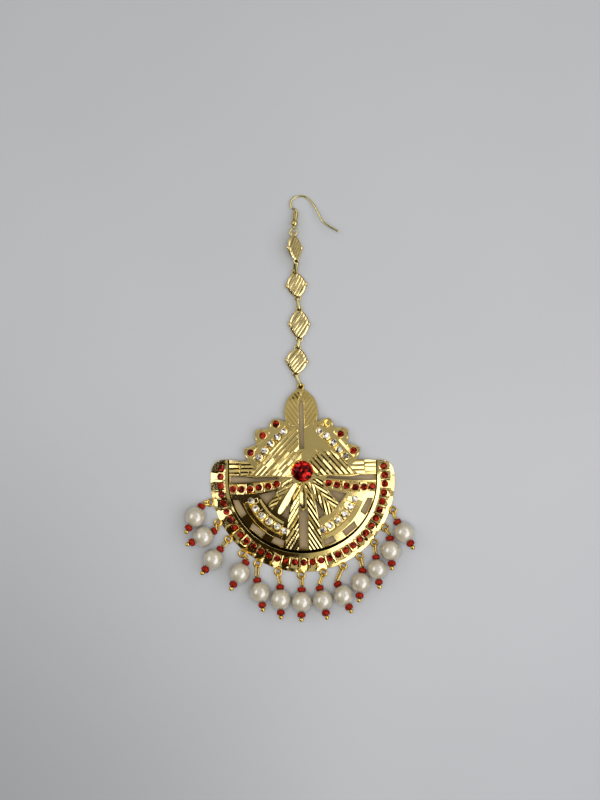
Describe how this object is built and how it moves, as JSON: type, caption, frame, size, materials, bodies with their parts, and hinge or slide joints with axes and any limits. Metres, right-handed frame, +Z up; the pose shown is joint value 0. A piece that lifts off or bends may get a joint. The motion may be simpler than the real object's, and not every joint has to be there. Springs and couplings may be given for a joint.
{
  "type": "maang tikka forehead pendant",
  "caption": "Forehead pendant: wire hair hook, cushion links on jump rings, and a pierced domed fan plate in a horseshoe rim set with red and clear stones and fringed with pearl drops.",
  "frame": {"origin": "bottom centre of the bounding box of the pendant lying flat", "axes": "+Z up from the surface it lies on, +Y along its length from the pearl fringe to the hair hook, +X to the right"},
  "size_m": [0.0958, 0.1782, 0.0088],
  "materials": {
    "gilt_plate": "bright pale yellow plating, polished, with cut flutes",
    "gilt_link": "bright pale yellow plating, polished",
    "gilt_wire": "yellow plated wire, polished",
    "centre_stone": "faceted deep red glass or resin, foiled behind, so it reads as opaque",
    "red_rhinestone": "small faceted red stones, foiled behind",
    "clear_rhinestone": "small faceted clear stones, foiled behind",
    "imitation_pearl": "ivory pearl lacquer with a soft sheen",
    "red_seed_bead": "opaque red glass seed beads, glossy"
  },
  "bodies": {
    "root": {"ear_hook": "gilt_wire", "hook_coil": "gilt_wire", "hook_bead": "gilt_wire", "link_01": "gilt_link", "link_02": "gilt_link", "link_03": "gilt_link", "link_04": "gilt_link", "jump_ring_01": "gilt_wire", "jump_ring_02": "gilt_wire", "jump_ring_03": "gilt_wire", "jump_ring_04": "gilt_wire", "fan_plate": "gilt_plate", "centre_stone": "centre_stone", "pearl_01": "imitation_pearl", "drop_pin_01": "gilt_wire", "pearl_02": "imitation_pearl", "drop_pin_02": "gilt_wire", "pearl_03": "imitation_pearl", "drop_pin_03": "gilt_wire", "pearl_04": "imitation_pearl", "drop_pin_04": "gilt_wire", "pearl_05": "imitation_pearl", "drop_pin_05": "gilt_wire", "pearl_06": "imitation_pearl", "drop_pin_06": "gilt_wire", "pearl_07": "imitation_pearl", "drop_pin_07": "gilt_wire", "pearl_08": "imitation_pearl", "drop_pin_08": "gilt_wire", "pearl_09": "imitation_pearl", "drop_pin_09": "gilt_wire", "pearl_10": "imitation_pearl", "drop_pin_10": "gilt_wire", "pearl_11": "imitation_pearl", "drop_pin_11": "gilt_wire", "pearl_12": "imitation_pearl", "drop_pin_12": "gilt_wire", "pearl_13": "imitation_pearl", "drop_pin_13": "gilt_wire"}
  },
  "joints": []
}
